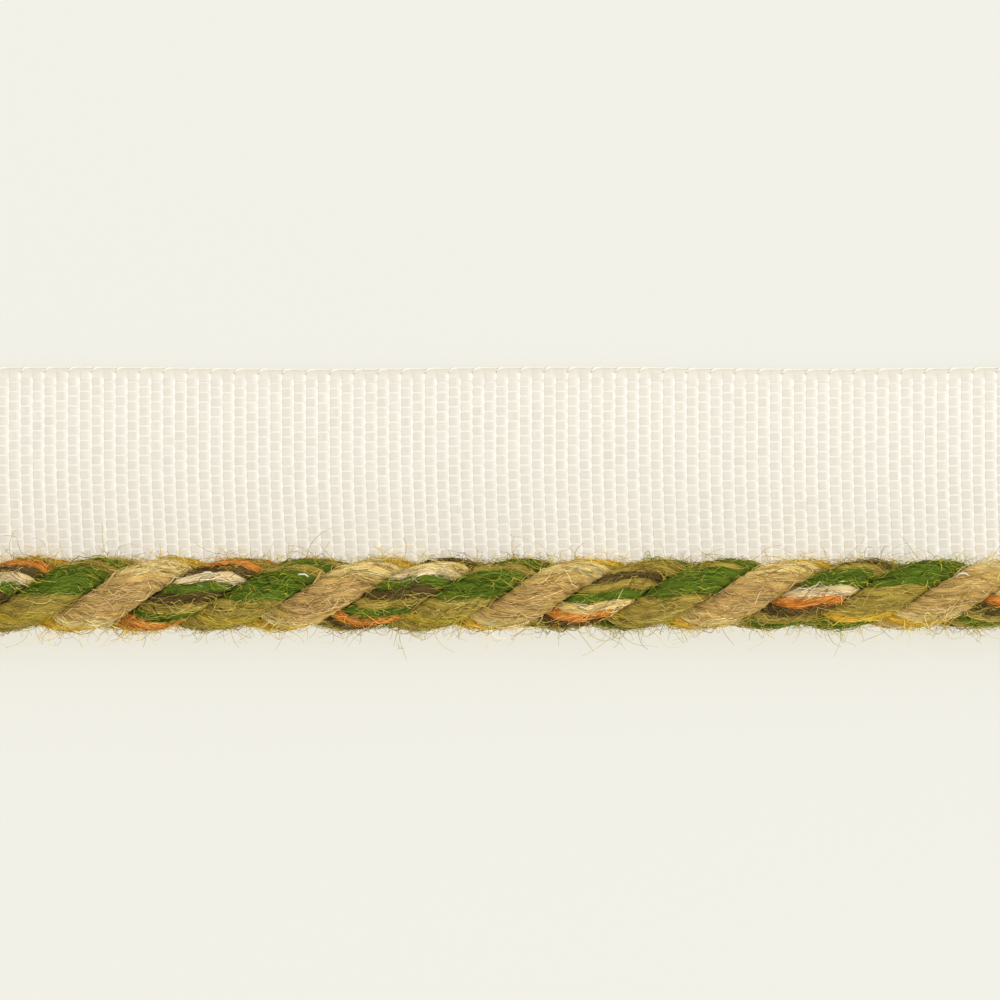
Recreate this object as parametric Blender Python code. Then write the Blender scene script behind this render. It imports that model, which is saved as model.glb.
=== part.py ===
"""A cut length of flanged cord: a three-strand wool cord sewn along the margin of a woven tape.

X runs along the cord, Y from the cord towards the tape's free edge, and Z up.
The origin lies under the middle of the piece, on the surface that the tape rests on.
Sizes are in metres.
"""

import math

import bmesh
import bpy

MM = 0.001

# The whole piece
LENGTH = 104 * MM
FLANGE_WIDTH = 16 * MM
CORD_RADIUS = 3 * MM
PIECE_GAP = 0.3 * MM
TOTAL_WIDTH = FLANGE_WIDTH + 2 * CORD_RADIUS
CORD_Y = CORD_RADIUS - TOTAL_WIDTH / 2

# The tape, which runs on as a hidden margin to just past the middle of the cord
TAPE_THICKNESS = 1 * MM
TAPE_PAST_CORD_AXIS = 0.5 * MM
TAPE_FREE_EDGE_Y = TOTAL_WIDTH / 2
TAPE_HIDDEN_EDGE_Y = CORD_Y - TAPE_PAST_CORD_AXIS
RIB_PITCH = 1 * MM
RIB_DEPTH = 0.14 * MM
RIB_CREST_SHARE = 0.56
SELVEDGE_WIDTH = 0.6 * MM
SELVEDGE_STEP = 0.15 * MM

# The lay of the cord: each strand goes once round the axis in one lay length
TURNS = 6
STEPS_PER_TURN = 20
STRANDS = 3
TAN_FRONT_X = 3.2 * MM

# One strand's section, a round lobe that is pressed flat against its two neighbours
STRAND_RADIUS = 1.7 * MM
STRAND_OFFSET = CORD_RADIUS - STRAND_RADIUS
LOBE_SEGMENTS = 10
HALF_SECTOR = math.pi / STRANDS

# The cord sits on the tape's margin and is pressed a little flat underneath
CORD_Z = 4 * MM
CORD_UNDERSIDE_Z = TAPE_THICKNESS + PIECE_GAP
UNDERSIDE_PRESS = (CORD_Z - CORD_UNDERSIDE_Z) / CORD_RADIUS

# Linear colours of the yarns and the tape
TAPE_CREAM = (0.86, 0.82, 0.70)
YARN_TAN = (0.50, 0.34, 0.17)
YARN_MIXED = (0.20, 0.15, 0.08)
YARN_GREEN = (0.10, 0.20, 0.04)
TAPE_ROUGHNESS = 0.75
WOOL_ROUGHNESS = 0.9

# Edges that turn by more than this stay sharp
RIB_SHARP_ANGLE = math.radians(30)
STRAND_SHARP_ANGLE = math.radians(50)

# Each strand: name, place round the cord in thirds of a turn behind the tan one, colour
STRAND_TABLE = (
    ("strand_tan", 0, YARN_TAN),
    ("strand_mixed", 1, YARN_MIXED),
    ("strand_green", 2, YARN_GREEN),
)


def clear_scene():
    for old in list(bpy.data.objects):
        bpy.data.objects.remove(old)


def yarn_material(name, colour, roughness):
    material = bpy.data.materials.new(name)
    material.use_nodes = True
    shader = material.node_tree.nodes["Principled BSDF"]
    shader.inputs["Base Color"].default_value = (*colour, 1)
    shader.inputs["Roughness"].default_value = roughness
    shader.inputs["Metallic"].default_value = 0
    return material


def finish_object(name, bm, material, sharp_angle):
    """Turns the bmesh into a named object with outward faces."""
    bmesh.ops.recalc_face_normals(bm, faces=bm.faces)
    mesh = bpy.data.meshes.new(name)
    bm.to_mesh(mesh)
    bm.free()
    mesh.materials.append(material)
    mesh.shade_smooth()
    mesh.set_sharp_from_angle(angle=sharp_angle)
    bpy.context.scene.collection.objects.link(bpy.data.objects.new(name, mesh))


def rib_profile():
    """The tape's section along X: ribs across the top, closed by the flat underside."""
    ribs = round(LENGTH / RIB_PITCH)
    crest = TAPE_THICKNESS
    valley = TAPE_THICKNESS - RIB_DEPTH
    flank = RIB_PITCH * (1 - RIB_CREST_SHARE) / 2
    points = [(-LENGTH / 2, 0), (-LENGTH / 2, valley)]
    for rib in range(ribs):
        start = -LENGTH / 2 + rib * RIB_PITCH
        points.append((start + flank, crest))
        points.append((start + RIB_PITCH - flank, crest))
        points.append((start + RIB_PITCH, valley))
    points.append((LENGTH / 2, 0))
    return points


def push_on(bm, face, y):
    """Extrudes the solid's end face on to y and returns the new end face and its points."""
    left_inside = any(len(edge.link_faces) > 1 for edge in face.edges)
    grown = bmesh.ops.extrude_face_region(bm, geom=[face])["geom"]
    points = [g for g in grown if isinstance(g, bmesh.types.BMVert)]
    for point in points:
        point.co.y = y
    end = next(g for g in grown if isinstance(g, bmesh.types.BMFace))
    if left_inside:
        bmesh.ops.delete(bm, geom=[face], context="FACES_ONLY")
    return end, points


def make_tape():
    """The woven flange: ribbed across, with a plain selvedge along its free edge."""
    bm = bmesh.new()
    outline = [bm.verts.new((x, TAPE_HIDDEN_EDGE_Y, z)) for x, z in rib_profile()]
    end = bm.faces.new(outline)
    selvedge_y = TAPE_FREE_EDGE_Y - SELVEDGE_WIDTH
    end, _ = push_on(bm, end, selvedge_y - SELVEDGE_STEP)
    end, points = push_on(bm, end, selvedge_y)
    for point in points:
        if point.co.z > 0:
            point.co.z = TAPE_THICKNESS
    push_on(bm, end, TAPE_FREE_EDGE_Y)
    cream = yarn_material("woven cream tape", TAPE_CREAM, TAPE_ROUGHNESS)
    finish_object("flange_tape", bm, cream, RIB_SHARP_ANGLE)


def strand_section():
    """One strand's outline as (out, side) offsets from the cord's axis.

    The lobe is an arc round the strand's own centre. It meets the two planes that part
    it from its neighbours, and these run in to a blunt point near the cord's axis.
    """
    wall = STRAND_OFFSET * math.sin(HALF_SECTOR) - PIECE_GAP / 2
    wall_direction = math.pi / 2 + HALF_SECTOR
    corner = wall_direction - math.acos(wall / STRAND_RADIUS)
    section = []
    for step in range(LOBE_SEGMENTS + 1):
        angle = corner * (2 * step / LOBE_SEGMENTS - 1)
        out = STRAND_OFFSET + STRAND_RADIUS * math.cos(angle)
        section.append((out, STRAND_RADIUS * math.sin(angle)))
    section.append((PIECE_GAP / 2 / math.sin(HALF_SECTOR), 0))
    return section


def axis_distance(point):
    return math.hypot(point.co.y - CORD_Y, point.co.z - CORD_Z)


def cut_twisted_faces(bm):
    """Cuts each twisted face along the diagonal that leaves the cord's axis backwards.

    Both walls of a parting are then cut alike, so they stay parallel.
    """
    for face in [face for face in bm.faces if len(face.verts) == 4]:
        along = sorted(face.verts, key=lambda point: point.co.x)
        outer_start = max(along[:2], key=axis_distance)
        inner_end = min(along[2:], key=axis_distance)
        bmesh.utils.face_split(face, outer_start, inner_end)


def press_underside(bm):
    """Flattens the cord's lower half, so that it clears the tape's margin."""
    for point in bm.verts:
        if point.co.z < CORD_Z:
            point.co.z = CORD_Z - (CORD_Z - point.co.z) * UNDERSIDE_PRESS


def make_strand(name, thirds_behind, colour):
    """One strand, its section swept along the cord while it turns round the cord's axis."""
    start_x = -LENGTH / 2
    turned = 2 * math.pi * TURNS * (start_x - TAN_FRONT_X) / LENGTH
    turned -= 2 * HALF_SECTOR * thirds_behind
    bm = bmesh.new()
    outline = []
    for out, side in strand_section():
        y = CORD_Y + out * math.sin(turned) + side * math.cos(turned)
        z = CORD_Z + out * math.cos(turned) - side * math.sin(turned)
        outline.append(bm.verts.new((start_x, y, z)))
    end = bm.faces.new(outline)
    steps = TURNS * STEPS_PER_TURN
    bmesh.ops.spin(
        bm,
        geom=[end, *end.edges, *end.verts],
        cent=(start_x, CORD_Y, CORD_Z),
        axis=(1, 0, 0),
        dvec=(LENGTH / steps, 0, 0),
        angle=-2 * math.pi * TURNS,
        steps=steps,
    )
    cut_twisted_faces(bm)
    press_underside(bm)
    wool = yarn_material(f"{name} wool", colour, WOOL_ROUGHNESS)
    finish_object(name, bm, wool, STRAND_SHARP_ANGLE)


def main():
    clear_scene()
    make_tape()
    for name, thirds_behind, colour in STRAND_TABLE:
        make_strand(name, thirds_behind, colour)


main()
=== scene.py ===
"""The looks of a cut length of flanged cord: three strands of plied wool, laid into a cord that is
sewn along the margin of a ribbed cotton tape.

Lengths are in millimetres until a mesh is made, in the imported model's directions: X along the cord,
Y towards the tape's free edge and Z up.
"""

import math

import bmesh
import bpy
import numpy as np
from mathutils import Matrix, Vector


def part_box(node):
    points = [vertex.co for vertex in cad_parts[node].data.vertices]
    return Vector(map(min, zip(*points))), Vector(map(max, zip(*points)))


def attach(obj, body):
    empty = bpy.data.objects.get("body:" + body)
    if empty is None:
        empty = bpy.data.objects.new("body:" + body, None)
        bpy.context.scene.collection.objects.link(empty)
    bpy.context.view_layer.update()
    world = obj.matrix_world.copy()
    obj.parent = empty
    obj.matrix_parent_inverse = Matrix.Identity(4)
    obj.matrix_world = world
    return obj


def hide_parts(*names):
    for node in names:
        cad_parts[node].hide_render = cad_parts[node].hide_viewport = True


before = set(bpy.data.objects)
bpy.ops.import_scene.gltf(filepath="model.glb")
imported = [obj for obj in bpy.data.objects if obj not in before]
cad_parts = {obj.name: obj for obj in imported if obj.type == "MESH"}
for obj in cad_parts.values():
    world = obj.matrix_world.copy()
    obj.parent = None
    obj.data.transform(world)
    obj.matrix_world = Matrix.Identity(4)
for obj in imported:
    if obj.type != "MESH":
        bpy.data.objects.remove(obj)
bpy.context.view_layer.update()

MM = 0.001


def node_box(*nodes):
    """The lowest and highest corner of some CAD nodes together, in millimetres."""
    boxes = np.array([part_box(node) for node in nodes]) / MM
    return boxes[:, 0].min(axis=0), boxes[:, 1].max(axis=0)


tape_low, tape_high = node_box("flange_tape")
cord_low, cord_high = node_box("strand_tan", "strand_mixed", "strand_green")

# The cord and its lay: each strand goes once round the axis in one lay length
LENGTH = cord_high[0] - cord_low[0]
START_X = cord_low[0]
CORD_Y = (cord_low[1] + cord_high[1]) / 2
CORD_RADIUS = (cord_high[1] - cord_low[1]) / 2
CORD_Z = cord_high[2] - CORD_RADIUS
UNDERSIDE_PRESS = (CORD_Z - cord_low[2]) / CORD_RADIUS
TURNS = 6
LAY = LENGTH / TURNS
TAN_FRONT_X = 3.2
THIRD = 2 * math.pi / 3

# A strand's section: a round lobe, parted from its neighbours by two flat walls. The sharper its
# corners, the less they are rounded off.
STRAND_MIDDLE = 1.6
LOBE_RADIUS = 2.1
LOBE_MIDDLE = CORD_RADIUS - LOBE_RADIUS
PARTING = 0.24
CORNER_SHARPNESS = 7

# The share of the cord's radius that its yarns fill, and what they lose in a millimetre along X
FULLNESS = 0.965
THINNING = 0.0011

# The plies that make a strand
PLIES = 10
PLY_RADIUS = 0.52
CORE_RADIUS = 0.6
PLY_SIDES = 8
PLY_STEP = 0.8
PLY_SPACING = 2 * math.pi / PLIES

# The wool fibres on the plies, thicker than real ones so that they show
FIBRE_RADIUS = 0.032
FIBRES_PER_STRAND = 4600
FIBRE_RINGS = 6
STRAY_SHARE = 0.22

# The loose hairs that curl off the cord, but for its underside, and those of each cut end. Light
# shines through a loose hair, so it is tinted paler and yellower than its yarn. Each sort has its
# number of hairs, the rings along one, its run, the radius of its curl and how far it may rise.
HAIR_RADIUS = 0.025
HAIR_TURN = math.radians(145)
HAIR_TINT = (1.05, 1.07, 0.8)
CUT_END_HAIRS = 80
HAIRS = (
    {
        "name": "wool_fuzz",
        "count": 5500,
        "rings": 6,
        "long": (0.4, 1.5),
        "curl": (0.12, 0.38),
        "rise": 0.4,
    },
    {
        "name": "loose_hairs",
        "count": 1800,
        "rings": 9,
        "long": (0.8, 2.6),
        "curl": (0.25, 0.75),
        "rise": 0.55,
    },
)

# The tape's weave: one thick weft in every rib, and warp yarns that float over one rib in two. The
# ribs are shifted along X, and the weft's ends are inset so that the warp's cut ends cover them.
RIB_PITCH = 1.0
RIBS = round(LENGTH / RIB_PITCH)
FREE_SELVEDGE = 0.65
HIDDEN_SELVEDGE = 0.3
WARP_PITCH = 0.412
WEAVE_SHIFT = -0.3
WEFT_INSET = 0.06
FLOAT_SHARP_ANGLE = math.radians(30)
WARPS = round((tape_high[1] - tape_low[1] - FREE_SELVEDGE - HIDDEN_SELVEDGE) / WARP_PITCH)
TAPE_MIDDLE_Z = (tape_low[2] + tape_high[2]) / 2

# The thread that sews the cord to the tape, sunk between the strands but for a few stitches
STITCH = 3.9
THREAD_RADIUS = 0.08
THREAD_DEPTH = 0.5
THREAD_TURN = math.radians(37)
SHOWN_STITCHES = (6, 8, 22)

# The photograph's framing
PHOTO_WIDTH = 83.75
PHOTO_MIDDLE_Y = -0.17
LENS = 135
SENSOR = 36

# Each strand: its node and slot, its place in thirds of a turn behind the tan one, the place of its
# first ply in degrees from the front, and the wool of each ply in turn. The yarns are dyed in
# lengths, so a row of wools holds up to the place along X before it. The ring of plies drifts round
# along the cord, by degrees at places along X.
STRANDS = (
    {
        "node": "strand_tan",
        "slot": "tan_wool",
        "thirds": 0,
        "first_ply": -155,
        "plies": (
            (28, "gold/light tan/tan/brown tan/brown tan/brown tan/tan/light tan/light tan/gold"),
            (60, "gold/light tan/tan/brown tan/brown tan/tan/tan/light tan/light tan/light tan"),
        ),
        "drift": ((20, 0), (38, 32)),
    },
    {
        "node": "strand_mixed",
        "slot": "mixed_wool",
        "thirds": 1,
        "first_ply": -174,
        "plies": (
            (-16, "olive/orange/orange/green/olive/brown/green/cream/brown/orange"),
            (1.5, "olive/brown/orange/green/olive/brown/green/cream/light tan/brown"),
            (20, "brown/orange/light tan/green/olive/brown/olive/olive/green/olive"),
            (60, "brown/orange/cream/green/green/olive/brown/olive/green/olive"),
        ),
        "drift": ((-26, -18), (-8, 0), (9, 62), (26, 115), (44, 115)),
    },
    {
        "node": "strand_green",
        "slot": "green_wool",
        "thirds": 2,
        "first_ply": -172,
        "plies": (
            (1.5, "olive/olive/gold olive/olive/olive/green/green/green/olive/green"),
            (20, "green/olive/olive/olive/olive/green/green/green/olive/green"),
            (60, "green/gold/olive/olive/olive/green/green/green/green/green"),
        ),
        "drift": ((-37, 10), (-20, -12), (-3, -6), (15, 5), (32, 45)),
    },
)

# Wool colours: the shade of the darker fibres and the shade of the lighter ones
WOOLS = {
    "tan": ("#947430", "#e6cc8c"),
    "light tan": ("#ac8c46", "#f0e2a8"),
    "brown tan": ("#8a6c32", "#dcbc80"),
    "gold": ("#a67e1a", "#ebc652"),
    "gold olive": ("#86701a", "#ceb84c"),
    "olive": ("#76621e", "#c2ae5c"),
    "green": ("#304003", "#7c9030"),
    "brown": ("#352a12", "#7c663a"),
    "cream": ("#a88f5c", "#f6e8c2"),
    "orange": ("#96500e", "#f2ac56"),
}
WOOL_NAMES = list(WOOLS)

# The wool of the hairs that stand off each of these yarns, where it isn't the yarn's own
HAIR_WOOLS = {
    "orange": "gold",
    "brown": "olive",
    "cream": "light tan",
    "green": "gold olive",
}

# How much a fibre's red, green and blue stray from its wool's shades
TINT_SPREAD = (0.05, 0.03, 0.09)

# Places where hairs stand out in a tuft: the place along X, the angle round the cord in degrees
# from the top towards the tape, the wool and the number of hairs
TUFTS = (
    (-37.0, 85, "gold", 25),
    (-30.4, -98, "gold", 70),
    (-28.5, -92, "olive", 40),
    (-11.5, -95, "olive", 40),
    (-8.0, -95, "gold olive", 40),
    (-2.5, 88, "brown", 14),
    (2.8, 92, "olive", 45),
    (9.0, -95, "olive", 45),
    (12.5, -95, "green", 40),
    (13.5, 88, "olive", 25),
    (31.0, 92, "green", 20),
    (36.5, -90, "olive", 30),
    (39.5, -90, "olive", 35),
    (38.0, 92, "green", 20),
)


def linear(hex_colour):
    """A #rrggbb colour as the linear RGBA that Blender's sockets take."""
    channels = [int(hex_colour[i : i + 2], 16) / 255 for i in (1, 3, 5)]
    return (*(c / 12.92 if c <= 0.04045 else ((c + 0.055) / 1.055) ** 2.4 for c in channels), 1)


def add_node(tree, kind, settings, inputs):
    """Adds a node, sets its properties, and sets or links its inputs, by name or number."""
    node = tree.nodes.new(kind)
    for name, value in settings.items():
        setattr(node, name, value)
    for key, value in inputs.items():
        if isinstance(value, bpy.types.NodeSocket):
            tree.links.new(value, node.inputs[key])
        else:
            node.inputs[key].default_value = value
    return node


def new_material(name):
    material = bpy.data.materials.new(name)
    material.use_nodes = True
    material.node_tree.nodes.clear()
    return material, material.node_tree


def finish_material(tree, inputs):
    shader = add_node(tree, "ShaderNodeBsdfPrincipled", {}, inputs)
    add_node(tree, "ShaderNodeOutputMaterial", {}, {"Surface": shader.outputs["BSDF"]})


def yarn_material(name, roughness, streak, relief):
    """Spun yarn: matte, in the shades of its own fibres, with finer fibres as streaks along it."""
    material, tree = new_material(name)
    shade = add_node(tree, "ShaderNodeVertexColor", {"layer_name": "shade"}, {})
    place = add_node(tree, "ShaderNodeUVMap", {"uv_map": "yarn"}, {})
    lengthwise = add_node(
        tree,
        "ShaderNodeMapping",
        {},
        {"Vector": place.outputs["UV"], "Scale": (0.5, 8, 1)},
    )
    streaks = add_node(
        tree,
        "ShaderNodeTexNoise",
        {"noise_dimensions": "2D"},
        {"Vector": lengthwise.outputs["Vector"], "Scale": 1.0, "Detail": 2.0},
    )
    strength = add_node(
        tree,
        "ShaderNodeMapRange",
        {},
        {
            "Value": streaks.outputs["Fac"],
            "From Min": 0.3,
            "From Max": 0.7,
            "To Min": 1 - streak,
            "To Max": 1 + streak,
        },
    )
    colour = add_node(
        tree,
        "ShaderNodeVectorMath",
        {"operation": "SCALE"},
        {"Vector": shade.outputs["Color"], "Scale": strength.outputs["Result"]},
    )
    bump = add_node(
        tree,
        "ShaderNodeBump",
        {},
        {"Height": streaks.outputs["Fac"], "Strength": relief, "Distance": 0.04 * MM},
    )
    finish_material(
        tree,
        {
            "Base Color": colour.outputs["Vector"],
            "Normal": bump.outputs["Normal"],
            "Roughness": roughness,
            "Specular IOR Level": 0.1,
        },
    )
    return material


def card_material():
    """The pale ground: smooth matt card on a light table, which leaves hardly any shadow."""
    material, tree = new_material("pale matt card, lit from below")
    finish_material(
        tree,
        {
            "Base Color": linear("#586576"),
            "Roughness": 0.95,
            "Specular IOR Level": 0.0,
            "Emission Color": linear("#f6edd5"),
            "Emission Strength": 0.8,
        },
    )
    return material


def waves(rng, *shape):
    """Random starts for the sines that uneven() adds up."""
    return rng.uniform(0, 2 * math.pi, (*shape, 3))


def uneven(starts, x, length):
    """A smooth random curve between about -1 and 1, made of sines near the given wavelength."""
    total = 0
    for part, share in enumerate((0.6, 1.0, 1.7)):
        total = total + np.sin(2 * math.pi * x / (length * share) + starts[..., part, None])
    return total / 2


def along(points):
    """Unit directions along lines of points; the last axis but one runs along the line."""
    steps = np.gradient(points, axis=-2)
    return steps / np.linalg.norm(steps, axis=-1, keepdims=True)


def round_rings(lines, radii, sides):
    """Rings of points round lines: lines is [line, point, xyz] and radii is [line, point]."""
    forward = along(lines)
    across = np.empty_like(lines)
    side = np.cross(forward[:, 0], (0.3, 0.2, 1.0))
    for ring in range(lines.shape[1]):
        ahead = forward[:, ring]
        side = side - (side * ahead).sum(axis=1, keepdims=True) * ahead
        side = side / np.linalg.norm(side, axis=1, keepdims=True)
        across[:, ring] = side
    other = np.cross(forward, across)
    angle = np.linspace(0, 2 * math.pi, sides, endpoint=False)[:, None]
    round_it = np.cos(angle) * across[:, :, None] + np.sin(angle) * other[:, :, None]
    return lines[:, :, None] + radii[:, :, None, None] * round_it


def yarn_uv(rings, first_number):
    """The yarn UV in millimetres: along each tube, and round it from a start of its own."""
    tubes, points, sides, _ = rings.shape
    steps = np.linalg.norm(np.diff(rings.mean(axis=2), axis=1), axis=2)
    run = np.concatenate([np.zeros((tubes, 1)), np.cumsum(steps, axis=1)], axis=1)
    start = 7.3 * (first_number + np.arange(tubes))[:, None, None]
    girth = np.linalg.norm(rings[:, :1, 0] - rings[:, :1, 1], axis=-1)[..., None] * sides / 2
    round_it = np.abs(np.linspace(-1, 1, sides, endpoint=False)) * girth
    uv = np.empty((tubes, points, sides, 2))
    uv[..., 0] = run[:, :, None] + start
    uv[..., 1] = round_it + start
    return uv


def mix(first, second, share):
    return first + (second - first) * share


def finish_piece(name, mesh, material):
    mesh.materials.append(material)
    mesh.shade_smooth()
    piece = bpy.data.objects.new(name, mesh)
    bpy.context.scene.collection.objects.link(piece)
    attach(piece, "root")
    return piece


def tubes_piece(name, bundles, material):
    """One piece of many closed tubes. A bundle is rings [tube, ring, side, xyz] and their colours."""
    points, shades, uvs, faces = [], [], [], []
    first_point = 0
    first_tube = 0
    for rings, colours in bundles:
        tubes, count, sides, _ = rings.shape
        index = first_point + np.arange(tubes * count * sides).reshape(tubes, count, sides)
        here, ahead = index[:, :-1], index[:, 1:]
        walls = np.stack([here, np.roll(here, -1, 2), np.roll(ahead, -1, 2), ahead], axis=-1)
        ends = np.stack([index[:, 0, ::-1], index[:, -1]], axis=1)
        faces += [walls.reshape(-1, 4), ends.reshape(-1, sides)]
        points.append(rings.reshape(-1, 3))
        shades.append(np.broadcast_to(colours, rings.shape).reshape(-1, 3))
        uvs.append(yarn_uv(rings, first_tube).reshape(-1, 2))
        first_point += index.size
        first_tube += tubes
    points = np.concatenate(points) * MM
    corners = np.concatenate([face.ravel() for face in faces])
    sizes = np.concatenate([np.full(len(face), face.shape[1]) for face in faces])
    mesh = bpy.data.meshes.new(name)
    mesh.vertices.add(len(points))
    mesh.vertices.foreach_set("co", points.ravel())
    mesh.loops.add(len(corners))
    mesh.loops.foreach_set("vertex_index", corners.astype(np.int32))
    mesh.polygons.add(len(sizes))
    mesh.polygons.foreach_set("loop_start", (np.cumsum(sizes) - sizes).astype(np.int32))
    mesh.update(calc_edges=True)
    set_shades(mesh, np.concatenate(shades))
    layer = mesh.uv_layers.new(name="yarn")
    layer.uv.foreach_set("vector", np.concatenate(uvs)[corners].ravel())
    return finish_piece(name, mesh, material)


def set_shades(mesh, colours):
    layer = mesh.color_attributes.new(name="shade", type="FLOAT_COLOR", domain="POINT")
    opaque = np.concatenate([colours, np.ones((len(colours), 1))], axis=1)
    layer.data.foreach_set("color", opaque.ravel())


def front_x(strand):
    return TAN_FRONT_X + strand["thirds"] * LAY / 3


def strand_turn(strand, x):
    """The strand's place round the cord's axis, from the top towards the tape."""
    return 2 * math.pi * (x - front_x(strand)) / LAY


def ply_turn(strand, ply, x):
    """The direction from the strand's middle to a ply. The plies turn against the lay."""
    places, degrees = zip(*strand["drift"])
    drift = np.radians(np.interp(x, places, degrees))
    place = math.radians(strand["first_ply"]) + ply * PLY_SPACING
    return place + drift - 2 * math.pi * (x - front_x(strand)) / LAY


def strand_reach(angle):
    """How far a strand's surface is from its middle, at an angle from straight out of the cord."""
    angle = (angle + math.pi) % (2 * math.pi) - math.pi
    inward = STRAND_MIDDLE - LOBE_MIDDLE
    lobe = np.sqrt(LOBE_RADIUS**2 - (inward * np.sin(angle)) ** 2) - inward * np.cos(angle)
    wall = STRAND_MIDDLE * math.sin(THIRD / 2) - PARTING / 2
    facing = np.maximum(np.cos(np.abs(angle) - THIRD / 2 - math.pi / 2), 0)
    return (lobe**-CORNER_SHARPNESS + (facing / wall) ** CORNER_SHARPNESS) ** (-1 / CORNER_SHARPNESS)


def on_cord(x, y, z):
    """Points from offsets to the cord's axis, with the cord thinner along X and pressed below."""
    swell = FULLNESS - THINNING * x
    z = np.where(z < 0, z * UNDERSIDE_PRESS, z)
    return np.stack([x, CORD_Y + y * swell, CORD_Z + z * swell], axis=-1)


def strand_middle(strand, x):
    turn = strand_turn(strand, x)
    return STRAND_MIDDLE * np.sin(turn), STRAND_MIDDLE * np.cos(turn)


def ply_line(strand, ply, x):
    """A ply's middle as offsets from the cord's axis."""
    starts = strand["waves"][ply[:, 0]]
    turn = ply_turn(strand, ply, x) + 0.05 * uneven(starts, x, 9)
    reach = strand_reach(turn - strand_turn(strand, x)) - PLY_RADIUS
    reach = reach + 0.04 * uneven(starts + 1, x, 7)
    y, z = strand_middle(strand, x)
    return y + reach * np.sin(turn), z + reach * np.cos(turn)


def strand_surface(strand, x, turn):
    """How far the plies' surface is from the strand's middle, in a direction out of it."""
    aside = turn - ply_turn(strand, 0, x)
    aside = aside - np.round(aside / PLY_SPACING) * PLY_SPACING
    reach = strand_reach(turn - strand_turn(strand, x)) - PLY_RADIUS
    bulge = np.sqrt(np.maximum(PLY_RADIUS**2 - (reach * np.sin(aside)) ** 2, 0))
    return reach * np.cos(aside) + bulge


def wool_of(strand, ply, x):
    """The number in WOOLS of the wool that a ply has at a place along X."""
    ends, rows = zip(*strand["plies"])
    table = np.array([[WOOL_NAMES.index(name) for name in row.split("/")] for row in rows])
    return table[np.searchsorted(ends, x), ply]


def wool_shades(wool):
    """The darker and the lighter shade of each wool, as linear RGB."""
    shades = np.array([[linear(shade)[:3] for shade in pair] for pair in WOOLS.values()])
    return shades[wool, 0], shades[wool, 1]


def ply_tubes(strand):
    """The plies and the core that they surround, in the dark shades between the outer fibres."""
    steps = round(LENGTH / PLY_STEP)
    x = np.broadcast_to(START_X + np.linspace(0, LENGTH, steps + 1), (PLIES, steps + 1))
    y, z = ply_line(strand, np.arange(PLIES)[:, None], x)
    plies = round_rings(on_cord(x, y, z), np.full(x.shape, PLY_RADIUS), PLY_SIDES)
    core = on_cord(x[:1], *strand_middle(strand, x[:1]))
    core = round_rings(core, np.full(core.shape[:2], CORE_RADIUS), PLY_SIDES)
    dark, light = wool_shades(wool_of(strand, np.arange(PLIES)[:, None], x))
    shades = mix(dark, light, 0.2)
    return [(plies, shades[:, :, None]), (core, 0.5 * dark[0, 0])]


def locks(place, x, rng):
    """Lighter and darker locks of fibres, each a part of a ply wide and a few millimetres long."""
    total = 0
    for across, along_x in ((1.3, 5.9), (2.1, -4.3), (3.4, 3.1)):
        turn = place * across + x / along_x + rng.random()
        total = total + np.sin(2 * math.pi * turn)
    return total / 3


def surface_fibres(strand, rng):
    """Wavy fibres that lie roughly along the plies, where these are on the outside of the cord."""
    count = 4 * FIBRES_PER_STRAND
    place = rng.uniform(0, PLIES, count)
    middle = rng.uniform(START_X, START_X + LENGTH, count)
    facing = np.cos(ply_turn(strand, place, middle) - strand_turn(strand, middle))
    shown = np.flatnonzero(facing > -0.35)[:FIBRES_PER_STRAND]
    place, middle = place[shown, None], middle[shown, None]
    stray = rng.random(middle.shape) < STRAY_SHARE
    share = np.linspace(-1, 1, FIBRE_RINGS)
    long = np.where(stray, rng.uniform(1.2, 3.6, middle.shape), rng.uniform(2.2, 5.8, middle.shape))
    x = np.clip(middle + share * long / 2, START_X, START_X + LENGTH) + 1e-4 * share
    starts = waves(rng, len(place))
    drift = rng.normal(0.015, np.where(stray, 0.3, 0.13)) * (x - middle)
    waviness = np.where(stray, 0.34, 0.14) * uneven(starts, x, 2.5)
    turn = ply_turn(strand, place, x) + drift + waviness
    loose = rng.exponential(0.04, middle.shape) + stray * rng.uniform(0.05, 0.4, middle.shape)
    lift = loose * (1 - share**2) * (0.7 + 0.6 * uneven(starts + 2, x, 2.5)) - 0.1 * share**6
    reach = strand_surface(strand, x, turn) + lift
    y, z = strand_middle(strand, x)
    y = y + reach * np.sin(turn)
    z = z + reach * np.cos(turn)
    radii = FIBRE_RADIUS * rng.uniform(0.6, 1.25, middle.shape) * (1 - 0.6 * share**4)
    ply = np.round(place[:, 0]).astype(int) % PLIES
    dark, light = wool_shades(wool_of(strand, ply, middle[:, 0]))
    paler = rng.beta(1.4, 1.4, (len(ply), 1)) + 0.45 * locks(place, middle, rng)
    shades = mix(dark, light, paler.clip(-0.1, 1.15))
    shades = shades * (1 + rng.normal(0, TINT_SPREAD, shades.shape))
    return round_rings(on_cord(x, y, z), radii, 3), shades[:, None, None]


def make_strand(strand, wool):
    rng = np.random.default_rng(strand["thirds"] + 1)
    strand["waves"] = waves(rng, PLIES)
    bundles = ply_tubes(strand) + [surface_fibres(strand, rng)]
    piece = tubes_piece(f"{strand['node']}_yarns", bundles, wool)
    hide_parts(strand["node"])


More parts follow.
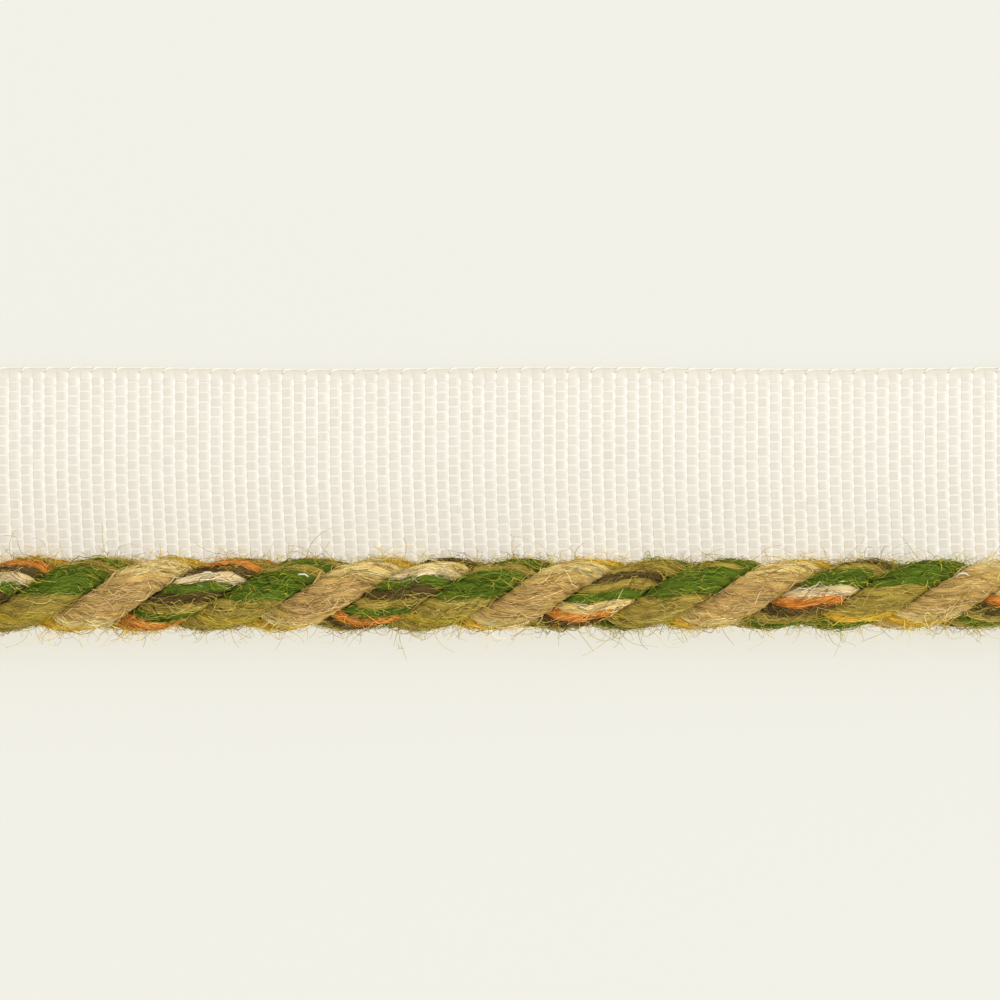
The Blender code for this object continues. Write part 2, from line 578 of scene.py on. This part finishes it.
def cord_surface(x, turn):
    """The cord's surface at an angle round its axis: how far out it is, and which wool is there."""
    out = np.zeros(x.shape)
    wool = np.zeros(x.shape, int)
    for strand in STRANDS:
        aside = turn - strand_turn(strand, x)
        reach = LOBE_MIDDLE * np.cos(aside)
        reach = reach + np.sqrt(np.maximum(LOBE_RADIUS**2 - (LOBE_MIDDLE * np.sin(aside)) ** 2, 0))
        y, z = strand_middle(strand, x)
        direction = np.arctan2(reach * np.sin(turn) - y, reach * np.cos(turn) - z)
        first = ply_turn(strand, 0, x)
        ply = np.round((direction - first) / PLY_SPACING).astype(int) % PLIES
        nearer = np.cos(aside) > np.cos(THIRD / 2)
        out = np.where(nearer, reach, out)
        wool = np.where(nearer, wool_of(strand, ply, x), wool)
    return out, wool


def unit(vectors):
    return vectors / np.linalg.norm(vectors, axis=-1, keepdims=True)


def hair_roots(sort, rng):
    """Where hairs start: all along the cord, in the tufts and on the cut ends."""
    x = rng.uniform(START_X, START_X + LENGTH, sort["count"])
    edge = rng.choice((-1, 1), sort["count"]) * rng.normal(1.65, 0.35, sort["count"])
    turn = rng.uniform(-HAIR_TURN, HAIR_TURN, sort["count"])
    turn = np.where(rng.random(sort["count"]) < 0.5, edge, turn)
    out, wool = cord_surface(x, turn)
    own = np.array([WOOL_NAMES.index(HAIR_WOOLS.get(name, name)) for name in WOOL_NAMES])
    wool = np.where(rng.random(sort["count"]) < 0.45, WOOL_NAMES.index("olive"), own[wool])
    roots = [on_cord(x, out * np.sin(turn), out * np.cos(turn))]
    outward = [np.stack([np.zeros(len(x)), np.sin(turn), np.cos(turn)], axis=1)]
    wools = [wool]
    for place, degrees, name, count in TUFTS:
        x = place + rng.normal(0, 1.1, count // 2)
        turn = np.radians(degrees + rng.normal(0, 14, count // 2))
        out, _ = cord_surface(x, turn)
        roots.append(on_cord(x, out * np.sin(turn), out * np.cos(turn)))
        outward.append(np.stack([np.zeros(len(x)), np.sin(turn), np.cos(turn)], axis=1))
        wools.append(np.full(len(x), WOOL_NAMES.index(name)))
    for end_x, ahead in ((START_X, -1), (START_X + LENGTH, 1)):
        x = np.full(CUT_END_HAIRS, end_x)
        turn = rng.uniform(-math.pi, math.pi, CUT_END_HAIRS)
        out, wool = cord_surface(x, turn)
        out = out * np.sqrt(rng.uniform(0.1, 0.9, CUT_END_HAIRS))
        roots.append(on_cord(x, out * np.sin(turn), out * np.cos(turn)))
        outward.append(np.tile((1.5 * ahead, 0.0, 0.0), (CUT_END_HAIRS, 1)))
        wools.append(wool)
    return np.concatenate(roots), np.concatenate(outward), np.concatenate(wools)


def make_hairs(sort, wool):
    """Loose hairs, each part of a turn of a closing curl that runs off along the cord."""
    rng = np.random.default_rng(sort["count"])
    roots, outward, kinds = hair_roots(sort, rng)
    hairs = len(roots)
    long = rng.uniform(*sort["long"], (hairs, 1, 1))
    curl = rng.uniform(*sort["curl"], (hairs, 1, 1))
    course = rng.normal(0, (0.8, 0.35, 0.35), (hairs, 3))
    course = course + outward * rng.uniform(0, sort["rise"], (hairs, 1))
    side = unit(rng.normal(0, 1, (hairs, 3)))
    other = unit(np.cross(side, rng.normal(0, 1, (hairs, 3))))
    share = np.linspace(0, 1, sort["rings"])[:, None]
    start = rng.uniform(0, 2 * math.pi, (hairs, 1, 1))
    angle = start + 2 * math.pi * rng.uniform(0.3, 1.1, (hairs, 1, 1)) * share
    closing = 1 - 0.4 * share
    lines = roots[:, None] - 0.15 * outward[:, None] + long * share * course[:, None]
    lines = lines + curl * (closing * np.cos(angle) - np.cos(start)) * side[:, None]
    lines = lines + curl * (closing * np.sin(angle) - np.sin(start)) * other[:, None]
    over_tape = lines[..., 1] > tape_low[1]
    lines[..., 2] = np.maximum(lines[..., 2], np.where(over_tape, tape_high[2] + 0.03, 0.05))
    lines[..., 0] = np.clip(lines[..., 0], START_X - 1, START_X + LENGTH + 1)
    radii = HAIR_RADIUS * rng.uniform(0.7, 1.25, (hairs, 1)) * (1 - 0.5 * share[:, 0])
    dark, light = wool_shades(kinds)
    shades = mix(dark, light, rng.uniform(0.3, 1.1, (hairs, 1))) * HAIR_TINT
    shades = shades * (1 + rng.normal(0, TINT_SPREAD, shades.shape))
    bundle = (round_rings(lines, radii, 3), shades[:, None, None])
    piece = tubes_piece(sort["name"], [bundle], wool)


def make_thread(cotton):
    """The sewing thread: short bites over the cord's edge and long stitches under the tape."""
    bites = np.arange(START_X + 4, START_X + LENGTH - STITCH, STITCH)
    bite = ((-0.1, 0.5), (0.0, 0.9), (0.2, 1), (0.7, 1), (0.9, 0.9), (1.0, 0.5))
    surface, _ = cord_surface(bites + 0.5, np.full(len(bites), THREAD_TURN))
    lines = []
    for number, x in enumerate(bites):
        shown = number in SHOWN_STITCHES
        reach = surface[number] + THREAD_RADIUS if shown else THREAD_DEPTH * CORD_RADIUS
        over = [
            (
                x + ahead,
                CORD_Y + out * reach * math.sin(THREAD_TURN),
                CORD_Z + out * reach * math.cos(THREAD_TURN),
            )
            for ahead, out in bite
        ]
        under = [
            (x + 1.05, CORD_Y + 0.8, 0.3),
            (x + 1.2, CORD_Y + 0.8, THREAD_RADIUS),
            (x + STITCH - 0.2, CORD_Y + 0.8, THREAD_RADIUS),
            (x + STITCH - 0.05, CORD_Y + 0.8, 0.3),
        ]
        lines.append(over + under)
    lines = np.array(lines)
    radii = np.full(lines.shape[:2], THREAD_RADIUS)
    white = np.array(linear("#c6c0ae")[:3])
    piece = tubes_piece("sewing_thread", [(round_rings(lines, radii, 6), white)], cotton)
    return piece


def lay_tape(points):
    """Sets tape points as it lies: its ribs lean near the cord, and its free edge waves a little."""
    x, y, z = np.moveaxis(points, -1, 0)
    lean = WEAVE_SHIFT + (0.25 - 0.05 * np.tanh(x / 15)) * np.clip((3.2 - y) / 7.2, 0, 1.4) ** 1.5
    wave = 0.09 * np.cos(2 * math.pi * (x - 6) / 42) * (y - tape_low[1]) / (tape_high[1] - tape_low[1])
    return np.stack([x + lean * (1 - (x / tape_high[0]) ** 8), y + wave, z], axis=-1)


def paler_by_cord(y):
    """The tape is a shade paler beside the cord."""
    return 1 + 0.3 * np.exp(-np.maximum(y - CORD_Y - CORD_RADIUS, 0) / 1.6)


def make_warp(cotton):
    """The warp yarns, which float flat over one rib and under the next, and stand up between."""
    shares = (0.0, 0.05, 0.55, 0.86)
    x = (np.arange(RIBS)[:, None] + shares).ravel() * RIB_PITCH + START_X
    x = np.append(x, START_X + LENGTH)
    rib = np.append(np.repeat(np.arange(RIBS), len(shares)), RIBS)
    floats = np.append(np.tile((0.0, 1.0, 1.0, 0.9), RIBS), 0.0)
    ends = np.append(np.tile((2.0, 0.0, 0.12, 1.0), RIBS), 1.0)
    warp = np.arange(WARPS)[:, None]
    up = np.where((rib + warp) % 2 == 0, -1, 1)
    corners = np.array([(-1, 1), (1, 1), (1, -1), (-1, -1)])
    half_width = mix(0.2, 0.34, floats)
    half_thick = mix(0.445, 0.2, floats)
    rings = np.empty((*up.shape, len(corners), 3))
    rng = np.random.default_rng(5)
    shift = rng.normal(0, 0.04, up.shape) * (floats > 0) * (ends > 0)
    rings[..., 0] = (x + shift)[..., None]
    middle = tape_low[1] + HIDDEN_SELVEDGE + (warp + 0.5) * WARP_PITCH
    rings[..., 1] = middle[..., None] + half_width[:, None] * corners[:, 0]
    rings[..., 2] = TAPE_MIDDLE_Z + (0.28 * up * floats)[..., None] + half_thick[:, None] * corners[:, 1]
    dull, bright = (np.array(linear(shade)[:3]) for shade in ("#c2beb4", "#cecbc4"))
    tone = 1 + rng.normal(0, 0.018, (*up.shape, 1, 1))
    shades = mix(dull, bright, ends[:, None, None]) * tone * paler_by_cord(rings[..., 1:2])
    piece = tubes_piece("tape_warp", [(lay_tape(rings), shades)], cotton)
    piece.data.set_sharp_from_angle(angle=FLOAT_SHARP_ANGLE)
    return piece


def make_weft(cotton):
    """The weft, packed side by side into one ribbed layer from selvedge to selvedge."""
    bm = bmesh.new()
    bmesh.ops.create_grid(bm, x_segments=4 * RIBS, y_segments=9, size=0.5)
    grown = bmesh.ops.extrude_face_region(bm, geom=bm.faces[:])["geom"]
    top = {item for item in grown if isinstance(item, bmesh.types.BMVert)}
    edge_low, edge_high = tape_low[1] + 0.1, tape_high[1] - 0.2
    in_selvedge = []
    paler = []
    for point in bm.verts:
        place = (point.co.x + 0.5) * RIBS % 1
        crest = 0.47 - 0.035 * abs(2 * place - 1) ** 4
        side = 1 if point in top else -1
        x = mix(tape_low[0] + WEFT_INSET, tape_high[0] - WEFT_INSET, point.co.x + 0.5)
        y = mix(edge_low, edge_high, point.co.y + 0.5)
        point.co = lay_tape(np.array([x, y, TAPE_MIDDLE_Z + side * crest])) * MM
        in_selvedge.append(float(y > tape_high[1] - FREE_SELVEDGE - 0.3))
        paler.append(paler_by_cord(y))
    bmesh.ops.recalc_face_normals(bm, faces=bm.faces[:])
    layer = bm.loops.layers.uv.new("yarn")
    for face in bm.faces:
        for loop in face.loops:
            loop[layer].uv = (loop.vert.co.y / MM, loop.vert.co.x / MM)
    mesh = bpy.data.meshes.new("tape_weft")
    bm.to_mesh(mesh)
    bm.free()
    dull, bright = (np.array(linear(shade)[:3]) for shade in ("#c8c3b8", "#d2cdc3"))
    set_shades(mesh, mix(bright, dull, np.array(in_selvedge)[:, None]) * np.array(paler)[:, None])
    piece = finish_piece("tape_weft", mesh, cotton)
    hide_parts("flange_tape")
    return piece


def make_selvedge(cotton):
    """The weft's turns round the edges, one for every two ribs, each tucked under the next."""
    share = np.linspace(0, 1, 9)
    lines = []
    for edge, inward in ((tape_high[1], -1), (tape_low[1], 1)):
        for turn in range(RIBS // 2):
            x = START_X + (2 * turn + 2.2 * share) * RIB_PITCH
            x = np.minimum(x, START_X + LENGTH)
            y = edge + inward * (0.14 + 0.3 * (1 - np.minimum(share / 0.22, 1)) ** 2)
            z = 0.06 * (share < 0.2) - 0.05 * share
            lines.append(np.stack([x + 1e-4 * share, y, z], axis=1))
    lines = np.array(lines)
    radii = np.broadcast_to(0.14 * (1 - 0.4 * share**6), lines.shape[:2])
    rings = round_rings(lines, radii, 8)
    rings[..., 2] = TAPE_MIDDLE_Z + 2.6 * rings[..., 2]
    cream, dull = (np.array(linear(shade)[:3]) for shade in ("#dcd9cf", "#d2cdc0"))
    shades = mix(cream, dull, np.clip((share - 0.15) * 5, 0, 1)[None, :, None, None])
    piece = tubes_piece("tape_selvedge_turns", [(lay_tape(rings), shades)], cotton)
    return piece


def make_floor():
    bm = bmesh.new()
    bmesh.ops.create_grid(bm, x_segments=1, y_segments=1, size=1.5)
    mesh = bpy.data.meshes.new("ground_card")
    bm.to_mesh(mesh)
    bm.free()
    mesh.materials.append(card_material())
    ground = bpy.data.objects.new("ground_card", mesh)
    bpy.context.scene.collection.objects.link(ground)


def add_light(name, kind, energy, size, place, target):
    light = bpy.data.lights.new(name, kind)
    light.energy = energy
    if kind == "AREA":
        light.size = size
    lamp = bpy.data.objects.new(name, light)
    lamp.location = place
    lamp.rotation_mode = "QUATERNION"
    lamp.rotation_quaternion = (Vector(target) - Vector(place)).to_track_quat("-Z", "Y")
    bpy.context.scene.collection.objects.link(lamp)


def make_studio():
    world = bpy.data.worlds.new("light tent")
    world.use_nodes = True
    background = world.node_tree.nodes["Background"]
    background.inputs["Color"].default_value = linear("#fffdf8")
    background.inputs["Strength"].default_value = 1.25
    bpy.context.scene.world = world
    add_light("window side", "AREA", 13.0, 1.0, (0.95, 0.45, 1.05), (0, 0, 0))
    bpy.context.scene.view_settings.view_transform = "Standard"


def make_camera():
    """Straight above, as far off as a long lens needs to frame the photograph's width."""
    data = bpy.data.cameras.new("above")
    data.lens = LENS
    data.sensor_width = SENSOR
    camera = bpy.data.objects.new("above", data)
    focus_z = tape_high[2] + 1
    away = PHOTO_WIDTH * LENS / SENSOR
    camera.location = (0, PHOTO_MIDDLE_Y * MM, (focus_z + away) * MM)
    data.clip_start = 0.01
    bpy.context.scene.collection.objects.link(camera)
    bpy.context.scene.camera = camera


def main():
    make_camera()
    make_studio()
    make_floor()
    wool = yarn_material("carded wool, spun and plied", 0.9, 0.35, 0.6)
    for strand in STRANDS:
        make_strand(strand, wool)
    for sort in HAIRS:
        make_hairs(sort, wool)
    cotton = yarn_material("cream cotton, spun", 0.8, 0.015, 0.1)
    weft = make_weft(cotton)
    others = [make_warp(cotton), make_selvedge(cotton), make_thread(cotton)]


main()
